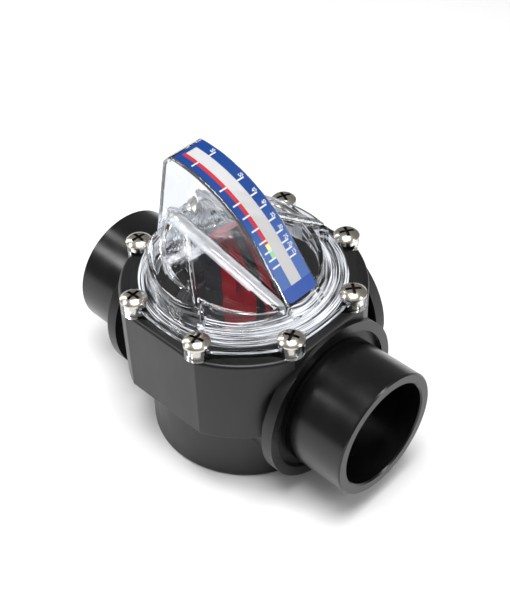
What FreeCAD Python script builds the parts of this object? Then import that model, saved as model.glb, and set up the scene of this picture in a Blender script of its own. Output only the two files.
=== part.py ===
import FreeCAD, Part
import math
import os
import Sketcher

# In-line flap flow meter: a moulded body with two pipe ports, a clear lid whose fin holds
# the pointer of a spring-loaded flapper, and the flapper's hinge, seal and springs.
# Frame: origin at the centre of the flat base, +X along the flow, +Z up, millimetres.

SIZES = {
    # body
    "body_top": 99.1,
    "skirt_bottom": 45.4,
    "corner_rise": 5.3,
    "flat_distance": 62.0,
    "bowl_radius": 55.4,
    "chamber_radius": 50.0,
    "floor_thickness": 5.0,
    "roof_thickness": 12.0,
    "core_wall": 3.6,
    "core_gap": 1.6,
    "core_half_angle": 13.0,
    "top_round": 2.0,
    "base_round": 2.0,
    # ports
    "axis_height": 50.4,
    "port_reach": 101.0,
    "spigot_radius": 36.5,
    "socket_radius": 30.2,
    "socket_depth": 36.0,
    "waterway_radius": 26.0,
    "mouth_chamfer": 0.8,
    "collar_radius": 47.5,
    "collar_reach": 2.3,
    "collar_thickness": 6.8,
    "recess_radius": 42.0,
    "recess_depth": 3.3,
    "seat_face": 38.0,
    "seat_width": 5.0,
    # lid joint
    "bolt_circle_radius": 61.5,
    "bolt_count": 8.0,
    "screw_radius": 3.15,
    "screw_length": 26.0,
    "thread_clearance": 0.05,
    "lid_hole_clearance": 0.35,
    "head_radius": 7.2,
    "head_height": 3.5,
    "driver_width": 1.7,
    "driver_length": 8.4,
    "driver_depth": 1.9,
    "seal_ring_radius": 54.4,
    "seal_cord_radius": 1.6,
    "seal_clearance": 0.1,
    # lid
    "flange_thickness": 5.5,
    "port_side_edge": 57.5,
    "corner_side_edge": 60.5,
    "boss_radius": 7.0,
    "boss_height": 7.8,
    "scallop_round": 6.0,
    "ring_radius": 51.0,
    "ring_height": 7.1,
    "step_width": 4.0,
    "step_height": 1.2,
    "hood_height": 20.7,
    "hood_tilt": 13.2,
    "hood_round": 1.8,
    "foot_round": 6.0,
    "lid_wall": 2.8,
    "spigot_depth": 5.0,
    "lid_spigot_clearance": 0.3,
    "lid_bore_radius": 47.6,
    "cheek_x": 25.8,
    "cheek_front_angle": 38.5,
    "cheek_back_angle": 34.0,
    "cheek_height": 32.0,
    "cheek_slope": 16.0,
    "cheek_round": 4.5,
    # fin
    "fin_half_width": 11.8,
    "fin_wall": 2.6,
    "fin_foot_x": 56.3,
    "fin_back_x": 45.0,
    "fin_crest_x": 39.5,
    "fin_bevel": 5.6,
    "fin_crest": 165.6,
    "fin_arc_radius": 83.0,
    "fin_arc_angle": 50.0,
    "fin_corner": 2.0,
    "fin_round": 1.4,
    "cavity_back": 50.6,
    "label_start_angle": 1.5,
    "label_half_width": 10.4,
    "label_thickness": 0.3,
    "label_end_height": 113.0,
    "label_round": 2.6,
    # hinge
    "pivot_x": 41.5,
    "pivot_drop": 3.2,
    "pin_radius": 1.6,
    "pin_clearance": 0.05,
    "lug_near": 12.6,
    "lug_thickness": 3.4,
    "lug_radius": 4.8,
    "pin_overhang": 1.9,
    "clip_thickness": 0.6,
    "clip_radius": 2.6,
    "clip_groove": 0.4,
    "clip_clearance": 0.05,
    # flapper
    "hub_radius": 4.2,
    "hub_half_width": 7.0,
    "disc_radius": 29.5,
    "disc_thickness": 3.5,
    "seal_thickness": 3.0,
    "seal_margin": 0.8,
    "seat_clearance": 0.3,
    "web_thickness": 3.0,
    "pointer_gap": 6.1,
    "sector_low_angle": 12.0,
    "sector_angle": 38.3,
    "sector_offset": 6.7,
    "sector_start": 15.0,
    "flange_half_width": 8.0,
    "flapper_flange": 2.2,
    "mid_rib_radius": 40.0,
    "mid_rib_half_width": 4.5,
    "rib_height": 4.0,
    "rib_thickness": 2.4,
    "screw_boss_radius": 4.6,
    "screw_boss_length": 12.0,
    "retainer_radius": 20.0,
    "retainer_thickness": 1.2,
    "retainer_screw_radius": 2.0,
    "retainer_head_radius": 3.8,
    "retainer_head_height": 2.2,
    "retainer_screw_length": 14.0,
    # springs
    "wire_radius": 0.5,
    "coil_radius": 3.0,
    "coil_turns": 3.0,
    "spring_gap": 0.35,
    "spring_leg": 20.0,
    "spring_touch": 0.1,
    "fixed_leg_past": 3.5,
}

doc = FreeCAD.newDocument("flow_meter")
sheet = doc.addObject("Spreadsheet::Sheet", "sizes")


def fill_sheet():
    for row, (name, size) in enumerate(SIZES.items(), start=1):
        sheet.set("A%d" % row, name.replace("_", " "))
        sheet.set("B%d" % row, "%g" % size)
        sheet.setAlias("B%d" % row, name)
    doc.recompute()


def full(expression):
    """Spell out every alias of an expression as a cell of the sheet."""
    words = expression.replace("(", "( ").replace(")", " )").split()
    return " ".join("sizes." + w if w in SIZES else w for w in words)


def value(expression):
    return float(sheet.evalExpression(full(expression)))


def bind(item, prop, expression):
    item.setExpression(prop, full(expression))


# ---- sketches and features ------------------------------------------------------------

def new_body(label):
    body = doc.addObject("PartDesign::Body", label)
    body.Label = label
    return body


def origin_item(body, role):
    return next(f for f in body.Origin.OriginFeatures if f.Role == role)


def new_sketch(body, name, role, offset="0"):
    """A sketch on one of the body's origin planes, moved along the plane's normal."""
    sketch = body.newObject("Sketcher::SketchObject", name)
    sketch.AttachmentSupport = [(origin_item(body, role), "")]
    sketch.MapMode = "FlatFace"
    bind(sketch, "AttachmentOffset.Base.z", offset)
    return sketch


def fix_point(sketch, geometry, position, x, y):
    for kind, expression in (("DistanceX", x), ("DistanceY", y)):
        place = value(expression)
        index = sketch.addConstraint(Sketcher.Constraint(kind, -1, 1, geometry, position, place))
        bind(sketch, "Constraints[%d]" % index, expression)


def draw_circle(sketch, x, y, radius):
    centre = FreeCAD.Vector(value(x), value(y), 0)
    circle = Part.Circle(centre, FreeCAD.Vector(0, 0, 1), value(radius))
    geometry = sketch.addGeometry(circle)
    fix_point(sketch, geometry, 3, x, y)
    index = sketch.addConstraint(Sketcher.Constraint("Radius", geometry, value(radius)))
    bind(sketch, "Constraints[%d]" % index, radius)


def arc_between(start, end, radius, turn):
    """The short arc from start to end that turns left (+1) or right (-1)."""
    chord = end - start
    rise = math.sqrt(max(radius ** 2 - (chord.Length / 2) ** 2, 0))
    side = FreeCAD.Vector(-chord.y, chord.x, 0).normalize() * turn
    centre = start + chord * 0.5 + side * rise
    first, last = (start, end) if turn > 0 else (end, start)
    angles = [math.atan2(p.y - centre.y, p.x - centre.x) for p in (first, last)]
    circle = Part.Circle(centre, FreeCAD.Vector(0, 0, 1), radius)
    return Part.ArcOfCircle(circle, angles[0], angles[1])


def draw_outline(sketch, corners):
    """A closed outline. A corner is (x, y), or (x, y, radius, turn) where an arc leaves it."""
    points = [FreeCAD.Vector(value(c[0]), value(c[1]), 0) for c in corners]
    edges = []
    for i, corner in enumerate(corners):
        start, end = points[i], points[(i + 1) % len(points)]
        if len(corner) == 2:
            edge = sketch.addGeometry(Part.LineSegment(start, end))
            edges.append((edge, 1, 2))
            continue
        radius, turn = corner[2], corner[3]
        edge = sketch.addGeometry(arc_between(start, end, value(radius), turn))
        edges.append((edge, 1, 2) if turn > 0 else (edge, 2, 1))
        index = sketch.addConstraint(Sketcher.Constraint("Radius", edge, value(radius)))
        bind(sketch, "Constraints[%d]" % index, radius)
    for i, (edge, first, last) in enumerate(edges):
        following = edges[(i + 1) % len(edges)]
        sketch.addConstraint(Sketcher.Constraint("Coincident", edge, last, following[0], following[1]))
        fix_point(sketch, edge, first, corners[i][0], corners[i][1])


def add_feature(body, kind, name, sketch, length, symmetric=False, backwards=False):
    feature = body.newObject("PartDesign::" + kind, name)
    feature.Profile = sketch
    bind(feature, "Length", length)
    feature.SideType = "Symmetric" if symmetric else "One side"
    feature.Reversed = backwards
    doc.recompute()
    return feature


def pad(body, name, sketch, length, symmetric=False, backwards=False):
    return add_feature(body, "Pad", name, sketch, length, symmetric, backwards)


def pocket(body, name, sketch, length, symmetric=False, backwards=False):
    before = body.Shape.Volume
    feature = add_feature(body, "Pocket", name, sketch, length, symmetric, backwards)
    assert body.Shape.Volume < before - 0.01, name + " cuts nothing"
    return feature


def turn_profile(body, kind, name, sketch):
    """Revolve a sketch of radius and height a full turn about its vertical axis."""
    feature = body.newObject("PartDesign::" + kind, name)
    feature.Profile = sketch
    feature.ReferenceAxis = (sketch, ["V_Axis"])
    feature.Angle = 360
    doc.recompute()
    return feature


def repeat_round(body, name, features, count):
    pattern = body.newObject("PartDesign::PolarPattern", name)
    pattern.Originals = features
    pattern.Axis = (origin_item(body, "Z_Axis"), [""])
    pattern.Angle = 360
    bind(pattern, "Occurrences", count)
    body.Tip = pattern
    doc.recompute()
    return pattern


def dress(body, kind, name, size, chosen):
    """Fillet or chamfer the edges of the body's tip that the test chooses."""
    base = body.Tip
    names = ["Edge%d" % (i + 1) for i, edge in enumerate(base.Shape.Edges) if chosen(edge)]
    assert names, name + " finds no edge"
    feature = body.newObject("PartDesign::" + kind, name)
    feature.Base = (base, names)
    bind(feature, "Radius" if kind == "Fillet" else "Size", size)
    doc.recompute()
    return feature


def combine(body, kind, name, others):
    """Fuse other PartDesign bodies, kept only as tools, into this one, or cut them out of it."""
    feature = body.newObject("PartDesign::Boolean", name)
    feature.Type = kind
    feature.setObjects(others)
    body.Tip = feature
    doc.recompute()
    return feature


def join(body, name, others):
    return combine(body, "Fuse", name, others)


def cut_out(body, name, others):
    return combine(body, "Cut", name, others)


def upright(edge):
    ends = edge.Vertexes
    return len(ends) == 2 and math.hypot(ends[0].X - ends[1].X, ends[0].Y - ends[1].Y) < 1e-4


def near(a, b):
    return abs(a - b) < 1e-4


def at_height(edge, height):
    box = edge.BoundBox
    return near(box.ZMin, height) and near(box.ZMax, height)


# ---- body -----------------------------------------------------------------------------

HOUSING_RADIUS = "( flat_distance + corner_rise )"


def housing_outline(sketch):
    """A circle cut by four flats, one across each port direction."""
    side = "sqrt( " + HOUSING_RADIUS + " ^2 - flat_distance ^2 )"
    minus = "-1 * "
    draw_outline(sketch, [
        ("flat_distance", minus + side), ("flat_distance", side, HOUSING_RADIUS, 1),
        (side, "flat_distance"), (minus + side, "flat_distance", HOUSING_RADIUS, 1),
        (minus + "flat_distance", side), (minus + "flat_distance", minus + side, HOUSING_RADIUS, 1),
        (minus + side, minus + "flat_distance"), (side, minus + "flat_distance", HOUSING_RADIUS, 1),
    ])


def add_housing(body):
    outline = new_sketch(body, "housing_outline", "XY_Plane", "skirt_bottom")
    housing_outline(outline)
    pad(body, "housing", outline, "body_top - skirt_bottom")
    top, bottom = value("body_top"), value("skirt_bottom")
    dress(body, "Fillet", "housing_rounds", "top_round", lambda e: upright(e) or at_height(e, top))
    dress(body, "Fillet", "skirt_rounds", "top_round / 2", lambda e: at_height(e, bottom))
    bowl = new_sketch(body, "bowl_circle", "XY_Plane")
    draw_circle(bowl, "0", "0", "bowl_radius")
    pad(body, "bowl", bowl, "skirt_bottom + roof_thickness")
    dress(body, "Fillet", "base_edge", "base_round", lambda e: at_height(e, 0))


COLLAR_FACE = "( flat_distance + collar_reach )"
RECESS_FLOOR = "( " + COLLAR_FACE + " - recess_depth )"


def add_ports(body):
    neck = new_sketch(body, "neck_circle", "YZ_Plane")
    draw_circle(neck, "0", "axis_height", "recess_radius")
    pad(body, "necks", neck, "2 * " + RECESS_FLOOR, symmetric=True)
    blank = new_sketch(body, "blank_neck_circle", "XZ_Plane")
    draw_circle(blank, "0", "axis_height", "recess_radius")
    pad(body, "blank_neck", blank, RECESS_FLOOR, backwards=True)
    for name, role, start, back in (
        ("outlet_recess", "YZ_Plane", RECESS_FLOOR, True),
        ("inlet_recess", "YZ_Plane", "-1 * " + RECESS_FLOOR, False),
        ("blank_recess", "XZ_Plane", "-1 * " + RECESS_FLOOR, False),
    ):
        seat = new_sketch(body, name + "_circle", role, start)
        draw_circle(seat, "0", "axis_height", "recess_radius")
        pocket(body, name, seat, "port_reach", backwards=back)
    stub = new_sketch(body, "stub_circle", "YZ_Plane")
    draw_circle(stub, "0", "axis_height", "spigot_radius")
    pad(body, "pipe_stubs", stub, "2 * port_reach", symmetric=True)
    for name, role, start in (
        ("outlet_collar", "YZ_Plane", COLLAR_FACE + " - collar_thickness"),
        ("inlet_collar", "YZ_Plane", "-1 * " + COLLAR_FACE),
        ("blank_collar", "XZ_Plane", "-1 * " + COLLAR_FACE),
    ):
        ring = new_sketch(body, name + "_ring", role, start)
        draw_circle(ring, "0", "axis_height", "collar_radius")
        draw_circle(ring, "0", "axis_height", "recess_radius - 0.01")
        pad(body, name, ring, "collar_thickness")


def cut_waterway(body):
    chamber = new_sketch(body, "chamber_circle", "XY_Plane", "floor_thickness")
    draw_circle(chamber, "0", "0", "chamber_radius")
    pocket(body, "chamber", chamber, "body_top", backwards=True)
    seat = new_sketch(body, "seat_circle", "YZ_Plane", "-1 * seat_face")
    draw_circle(seat, "0", "axis_height", "waterway_radius + seat_width")
    pad(body, "seat", seat, "chamber_radius - seat_face + 2", backwards=True)
    way = new_sketch(body, "waterway_circle", "YZ_Plane")
    draw_circle(way, "0", "axis_height", "waterway_radius")
    pocket(body, "waterway", way, "2 * port_reach", symmetric=True)
    for name, start, back in (
        ("outlet_socket", "port_reach - socket_depth", True),
        ("inlet_socket", "-1 * ( port_reach - socket_depth )", False),
    ):
        socket = new_sketch(body, name + "_circle", "YZ_Plane", start)
        draw_circle(socket, "0", "axis_height", "socket_radius")
        pocket(body, name, socket, "socket_depth", backwards=back)
    reach, mouth = value("port_reach"), value("socket_radius")
    dress(body, "Chamfer", "socket_mouths", "mouth_chamfer",
          lambda e: near(abs(e.BoundBox.XMin), reach) and near(e.BoundBox.XLength, 0))


def cut_lid_joint(body):
    groove = new_sketch(body, "seal_groove_ring", "XY_Plane", "body_top")
    draw_circle(groove, "0", "0", "seal_ring_radius - seal_cord_radius - seal_clearance * 3")
    draw_circle(groove, "0", "0", "seal_ring_radius + seal_cord_radius + seal_clearance * 3")
    pocket(body, "seal_groove", groove, "2 * ( seal_cord_radius + seal_clearance )")
    pilot = new_sketch(body, "pilot_circle", "XY_Plane", "body_top")
    draw_circle(pilot, "bolt_circle_radius * cos( 180 / bolt_count )",
                "bolt_circle_radius * sin( 180 / bolt_count )", "screw_radius + thread_clearance")
    hole = pocket(body, "pilot_hole", pilot, "screw_length - boss_height + 2")
    repeat_round(body, "pilot_holes", [hole], "bolt_count")


def cut_cores(body):
    """Four blind pockets from below, between the bowl and the housing's round corners."""
    inner, outer = "( bowl_radius + core_gap )", "( " + HOUSING_RADIUS + " - core_wall )"
    low, high = "45 - core_half_angle", "45 + core_half_angle"
    sector = new_sketch(body, "core_sector", "XY_Plane", "skirt_bottom")
    draw_outline(sector, [
        (inner + " * cos( " + low + " )", inner + " * sin( " + low + " )"),
        (outer + " * cos( " + low + " )", outer + " * sin( " + low + " )", outer, 1),
        (outer + " * cos( " + high + " )", outer + " * sin( " + high + " )"),
        (inner + " * cos( " + high + " )", inner + " * sin( " + high + " )", inner, -1),
    ])
    core = pocket(body, "core", sector, "body_top - skirt_bottom - roof_thickness", backwards=True)
    repeat_round(body, "cores", [core], "4")


def make_body():
    body = new_body("body")
    add_housing(body)
    add_ports(body)
    cut_waterway(body)
    cut_lid_joint(body)
    cut_cores(body)
    return body


# ---- lid ------------------------------------------------------------------------------

RING_TOP = "( body_top + ring_height )"
HOOD_RADIUS = "( ring_radius - 2 * step_width )"
HOOD_TOP = "( body_top + hood_height )"
CHEEK_TOP = "( body_top + cheek_height )"
LID_BORE = "lid_bore_radius"
FIN_FOOT = "( body_top + flange_thickness )"
FIN_SLOPE = "( ( fin_foot_x - fin_back_x ) / ( fin_crest - fin_bevel - " + FIN_FOOT + " ) )"
PIVOT_Z = "( body_top - pivot_drop )"


def lid_flange(body):
    """An octagon with nearer edges across the ports, and a boss under each screw."""
    near_edge, far_edge = "port_side_edge", "( corner_side_edge * sqrt( 2 ) - port_side_edge )"
    corners = []
    for x, y in ((1, -1), (1, 1)):
        corners.append(("%d * %s" % (x, near_edge), "%d * %s" % (y, far_edge)))
    for x, y in ((1, 1), (-1, 1)):
        corners.append(("%d * %s" % (x, far_edge), "%d * %s" % (y, near_edge)))
    for x, y in ((-1, 1), (-1, -1)):
        corners.append(("%d * %s" % (x, near_edge), "%d * %s" % (y, far_edge)))
    for x, y in ((-1, -1), (1, -1)):
        corners.append(("%d * %s" % (x, far_edge), "%d * %s" % (y, near_edge)))
    outline = new_sketch(body, "flange_outline", "XY_Plane", "body_top")
    draw_outline(outline, corners)
    pad(body, "flange", outline, "flange_thickness")
    circle = new_sketch(body, "boss_circle", "XY_Plane", "body_top")
    draw_circle(circle, "bolt_circle_radius * cos( 180 / bolt_count )",
                "bolt_circle_radius * sin( 180 / bolt_count )", "boss_radius")
    boss = pad(body, "boss", circle, "boss_height")
    repeat_round(body, "bosses", [boss], "bolt_count")
    foot, thickness = value("body_top"), value("flange_thickness")

    def inside_corner(edge):
        box = edge.BoundBox
        return upright(edge) and near(box.ZMin, foot) and near(box.ZLength, thickness)

    dress(body, "Fillet", "scallops", "scallop_round", inside_corner)


def lid_terraces(body):
    """Two shallow steps inside the flange, turned about the vertical axis."""
    profile = new_sketch(body, "terrace_profile", "XZ_Plane")
    draw_outline(profile, [
        ("0", "body_top + 0.5"), ("ring_radius", "body_top + 0.5"), ("ring_radius", RING_TOP),
        ("ring_radius - step_width", RING_TOP), ("ring_radius - step_width", RING_TOP + " + step_height"),
        ("0", RING_TOP + " + step_height"),
    ])
    turn_profile(body, "Revolution", "terraces", profile)


def hood_block(label, inset):
    """The round hood under its tilted plane, or the hollow inside it for an inset."""
    body = new_body(label)
    radius = "( %s - %s )" % (HOOD_RADIUS, inset)
    top = "%s - %s / cos( hood_tilt )" % (HOOD_TOP, inset)
    high = HOOD_TOP + " + hood_height"
    outline = new_sketch(body, label + "_circle", "XY_Plane", "body_top + 1")
    draw_circle(outline, "0", "0", radius)
    pad(body, label + "_drum", outline, "2 * hood_height - 1")
    fall = "ring_radius * tan( hood_tilt )"
    above = new_sketch(body, label + "_above", "XZ_Plane")
    draw_outline(above, [
        ("-1 * ring_radius", top + " + " + fall), ("ring_radius", top + " - " + fall),
        ("ring_radius", high), ("-1 * ring_radius", high),
    ])
    pocket(body, label + "_plane", above, "2 * ring_radius", symmetric=True)
    return body


def cheek_block(label, side, inset, reach):
    """A lobe beside the fin, over the hinge: its front wall is straight and its roof falls outwards."""
    body = new_body(label)
    foot_y = "( fin_half_width - 1 )"
    slant = "( cheek_x + ( %s ) / sin( cheek_front_angle ) )" % inset
    across = "( %s * sin( cheek_front_angle ) + %s * cos( cheek_front_angle ) )" % (slant, foot_y)
    along = "( sqrt( %s ^2 - %s ^2 ) )" % (reach, across)
    corner = ("( %s * cos( cheek_front_angle ) - %s * sin( cheek_front_angle ) )" % (along, across),
              "%d * ( %s * sin( cheek_front_angle ) + %s * cos( cheek_front_angle ) )" % (side, along, across))
    back_x = "-1 * %s * cos( cheek_back_angle )" % reach
    back = (back_x, "%d * %s * sin( cheek_back_angle )" % (side, reach))
    foot = "%d * %s" % (side, foot_y)
    outline = new_sketch(body, label + "_outline", "XY_Plane", "body_top + 1")
    draw_outline(outline, [
        ("-1 * " + slant, foot), corner + (reach, side), back, (back_x, foot),
    ])
    pad(body, label + "_prism", outline, "cheek_height")
    top = "%s - %s / cos( cheek_slope )" % (CHEEK_TOP, inset)
    high = CHEEK_TOP + " + cheek_height"
    above = new_sketch(body, label + "_above", "YZ_Plane")
    draw_outline(above, [
        ("0", top), ("%d * ring_radius" % side, top + " - ring_radius * tan( cheek_slope )"),
        ("%d * ring_radius" % side, high), ("0", high),
    ])
    pocket(body, label + "_roof", above, "2 * ring_radius", symmetric=True)
    return body


def lobe(label, side):
    """A whole lobe, its roof's edges rounded."""
    body = cheek_block(label, side, "0", "( ring_radius - 0.4 )")
    top, fall, foot = value(CHEEK_TOP), value("tan( cheek_slope )"), value("fin_half_width")

    def roof_edge(edge):
        on_roof = all(abs(v.Z + fall * abs(v.Y) - top) < 1e-3 for v in edge.Vertexes)
        return on_roof and abs(edge.CenterOfMass.y) > foot

    dress(body, "Fillet", label + "_rounds", "cheek_round", roof_edge)
    return body


def fin_end(offset):
    """Where the crest's arc ends and the straight front begins, for a shell offset inwards."""
    radius = "( fin_arc_radius - %s )" % offset
    x = "( %s * sin( fin_arc_angle ) - fin_crest_x )" % radius
    z = "( %s * cos( fin_arc_angle ) + fin_crest - fin_arc_radius )" % radius
    return x, z


def fin_block():
    """The fin as a solid, with its long edges rounded before it joins the lid."""
    body = new_body("fin_block")
    x, z = fin_end("0")
    toe = RING_TOP + " - 0.2"
    outline = new_sketch(body, "fin_outline", "XZ_Plane")
    draw_outline(outline, [
        ("-1 * fin_foot_x", FIN_FOOT), ("-1 * fin_back_x", "fin_crest - fin_bevel"),
        ("-1 * fin_crest_x", "fin_crest", "fin_arc_radius", -1), (x, z),
        (x + " + ( " + z + " - ( " + toe + " ) ) / tan( fin_arc_angle )", toe),
    ])
    pad(body, "fin_prism", outline, "2 * fin_half_width", symmetric=True)
    side, low = value("fin_half_width"), value(RING_TOP)

    def crest_corner(edge):
        box = edge.BoundBox
        return near(box.XLength, 0) and near(box.ZLength, 0) and box.XMax < 0 and box.ZMax > low + 1

    def rim(edge):
        box = edge.BoundBox
        return near(box.YLength, 0) and near(abs(box.YMin), side) and box.ZMax > low + 1

    dress(body, "Fillet", "crest_corners", "fin_corner", crest_corner)
    dress(body, "Fillet", "fin_rounds", "fin_round", rim)
    return body


def lid_hollow(body):
    """Hollow the ring, the hood and the lobes from below, leaving one wall all over."""
    bore = new_sketch(body, "bore_circle", "XY_Plane", "body_top - 1")
    draw_circle(bore, "0", "0", LID_BORE)
    pocket(body, "bore", bore, "ring_height + 1 - lid_wall", backwards=True)
    cut_out(body, "hollows", [
        hood_block("hood_core", "lid_wall"),
        cheek_block("right_core", -1, "lid_wall", LID_BORE),
        cheek_block("left_core", 1, "lid_wall", LID_BORE),
    ])


def lid_spigot(body):
    ring = new_sketch(body, "spigot_ring", "XY_Plane", "body_top - spigot_depth")
    draw_circle(ring, "0", "0", "chamber_radius - lid_spigot_clearance")
    draw_circle(ring, "0", "0", LID_BORE)
    pad(body, "spigot", ring, "spigot_depth + 1")


def fin_hollow(body):
    """The slot in which the pointer swings, open down to the flow chamber."""
    x, z = fin_end("fin_wall")
    back = "( fin_wall * sqrt( 1 + " + FIN_SLOPE + " ^2 ) )"
    meet = FIN_FOOT + " + ( fin_foot_x - " + back + " - cavity_back ) / " + FIN_SLOPE
    high = "( fin_crest - fin_bevel - fin_wall / 2 )"
    crest_x = "( fin_wall / 2 )"
    inner = "( fin_arc_radius - fin_wall )"
    low = "body_top - spigot_depth - 1"
    toe = "sqrt( " + LID_BORE + " ^2 - ( fin_half_width - fin_wall ) ^2 ) - 0.1"
    under = z + " - ( " + toe + " - " + x + " ) * tan( fin_arc_angle )"
    outline = new_sketch(body, "slot_outline", "XZ_Plane")
    draw_outline(outline, [
        ("-1 * cavity_back", low), ("-1 * cavity_back", meet),
        ("-1 * fin_foot_x + " + back + " + " + FIN_SLOPE + " * ( " + high + " - " + FIN_FOOT + " )", high),
        (crest_x + " - fin_crest_x",
         "fin_crest - fin_arc_radius + sqrt( " + inner + " ^2 - " + crest_x + " ^2 )", inner, -1),
        (x, z), (toe, under), (toe, low),
    ])
    pocket(body, "slot", outline, "2 * ( fin_half_width - fin_wall )", symmetric=True)


def hinge_lugs(body):
    """Two ears under the dome that carry the hinge pin."""
    top = RING_TOP + " + 1"
    for name, start in (("right_lug", "lug_near"), ("left_lug", "-1 * ( lug_near + lug_thickness )")):
        outline = new_sketch(body, name + "_outline", "XZ_Plane", start)
        draw_outline(outline, [
            ("-1 * pivot_x - lug_radius", top), ("-1 * pivot_x - lug_radius", PIVOT_Z, "lug_radius", 1),
            ("-1 * pivot_x", PIVOT_Z + " - lug_radius", "lug_radius", 1),
            ("lug_radius - pivot_x", PIVOT_Z), ("lug_radius - pivot_x", top),
        ])
        pad(body, name, outline, "lug_thickness")
    hole = new_sketch(body, "pin_hole_circle", "XZ_Plane")
    draw_circle(hole, "-1 * pivot_x", PIVOT_Z, "pin_radius + pin_clearance")
    pocket(body, "pin_holes", hole, "2 * ( lug_near + lug_thickness )", symmetric=True)


def lid_screw_holes(body):
    circle = new_sketch(body, "screw_hole_circle", "XY_Plane", "body_top + boss_height")
    draw_circle(circle, "bolt_circle_radius * cos( 180 / bolt_count )",
                "bolt_circle_radius * sin( 180 / bolt_count )", "screw_radius + lid_hole_clearance")
    hole = pocket(body, "screw_hole", circle, "boss_height")
    repeat_round(body, "screw_holes", [hole], "bolt_count")


def hooded_fin():
    """The hood with the fin on it, their meeting lines rounded."""
    height, fall, side = value(HOOD_TOP), value("tan( hood_tilt )"), value("fin_half_width")

    def on_plane(edge):
        return all(abs(v.Z + fall * v.X - height) < 1e-3 for v in edge.Vertexes)

    body = hood_block("hood", "0")
    dress(body, "Fillet", "hood_rim", "hood_round", on_plane)
    join(body, "fin", [fin_block()])
    dress(body, "Fillet", "foot_rounds", "foot_round",
          lambda e: on_plane(e) and near(e.BoundBox.YLength, 0) and near(abs(e.BoundBox.YMin), side))
    return body


def make_lid():
    body = new_body("lid")
    lid_flange(body)
    lid_terraces(body)
    join(body, "raised_parts", [
        hooded_fin(), lobe("right_cheek", -1), lobe("left_cheek", 1),
    ])
    lid_hollow(body)
    lid_spigot(body)
    fin_hollow(body)
    hinge_lugs(body)
    lid_screw_holes(body)
    return body


# ---- flapper --------------------------------------------------------------------------

DISC_BACK = "( seat_face - seat_clearance - seal_thickness - disc_thickness )"
DISC_FRONT = "( seat_face - seat_clearance - seal_thickness )"
SECTOR_RADIUS = "( fin_crest - fin_wall - " + PIVOT_Z + " - pointer_gap )"
TOP_ANGLE = "( sector_angle + asin( sector_offset / " + SECTOR_RADIUS + " ) / 1 deg )"


def around_pivot(radius, angle):
    """A point in the hinge's plane, by its distance and angle from the pin."""
    return ("( %s ) * cos( %s ) - pivot_x" % (radius, angle),
            "( %s ) * sin( %s ) + %s" % (radius, angle, PIVOT_Z))


def along_top(distance, offset):
    """A point beside the pointer's top edge, which passes the pin at an offset."""
    return ("( %s ) * cos( sector_angle ) - ( %s ) * sin( sector_angle ) - pivot_x" % (distance, offset),
            "( %s ) * sin( sector_angle ) + ( %s ) * cos( sector_angle ) + %s" % (distance, offset, PIVOT_Z))


def arc_band(body, name, outer, inner, half_width):
    """A flange that follows the pointer's arc, centred on the pin."""
    low = "-1 * sector_low_angle"
    band = new_sketch(body, name + "_band", "XZ_Plane")
    draw_outline(band, [
        around_pivot(outer, low) + (outer, 1), around_pivot(outer, TOP_ANGLE),
        around_pivot(inner, TOP_ANGLE) + (inner, -1), around_pivot(inner, low),
    ])
    pad(body, name, band, "2 * " + half_width, symmetric=True)


def flapper_disc(body):
    face = new_sketch(body, "disc_circle", "YZ_Plane", "-1 * " + DISC_FRONT)
    draw_circle(face, "0", "axis_height", "disc_radius")
    pad(body, "disc", face, "disc_thickness")
    dress(body, "Fillet", "disc_edges", "disc_thickness / 4", lambda e: True)
    lip = new_sketch(body, "lip_ring", "YZ_Plane", "-1 * " + DISC_BACK + " - 0.5")
    draw_circle(lip, "0", "axis_height", "disc_radius - rib_thickness / 2")
    draw_circle(lip, "0", "axis_height", "disc_radius - rib_thickness * 3 / 2")
    pad(body, "lip", lip, "rib_height / 2 + 0.5")
    wide, tall = "disc_radius - rib_thickness", "rib_thickness / 2"
    rib = new_sketch(body, "cross_rib_outline", "YZ_Plane", "-1 * " + DISC_BACK + " - 0.5")
    draw_outline(rib, [
        ("rib_thickness - disc_radius", "axis_height - " + tall), (wide, "axis_height - " + tall),
        (wide, "axis_height + " + tall), ("rib_thickness - disc_radius", "axis_height + " + tall),
    ])
    pad(body, "cross_rib", rib, "rib_height + 0.5")
    boss = new_sketch(body, "screw_boss_circle", "YZ_Plane", "-1 * " + DISC_BACK + " - 0.5")
    draw_circle(boss, "0", "axis_height", "screw_boss_radius")
    pad(body, "screw_boss", boss, "screw_boss_length + 0.5")


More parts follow.
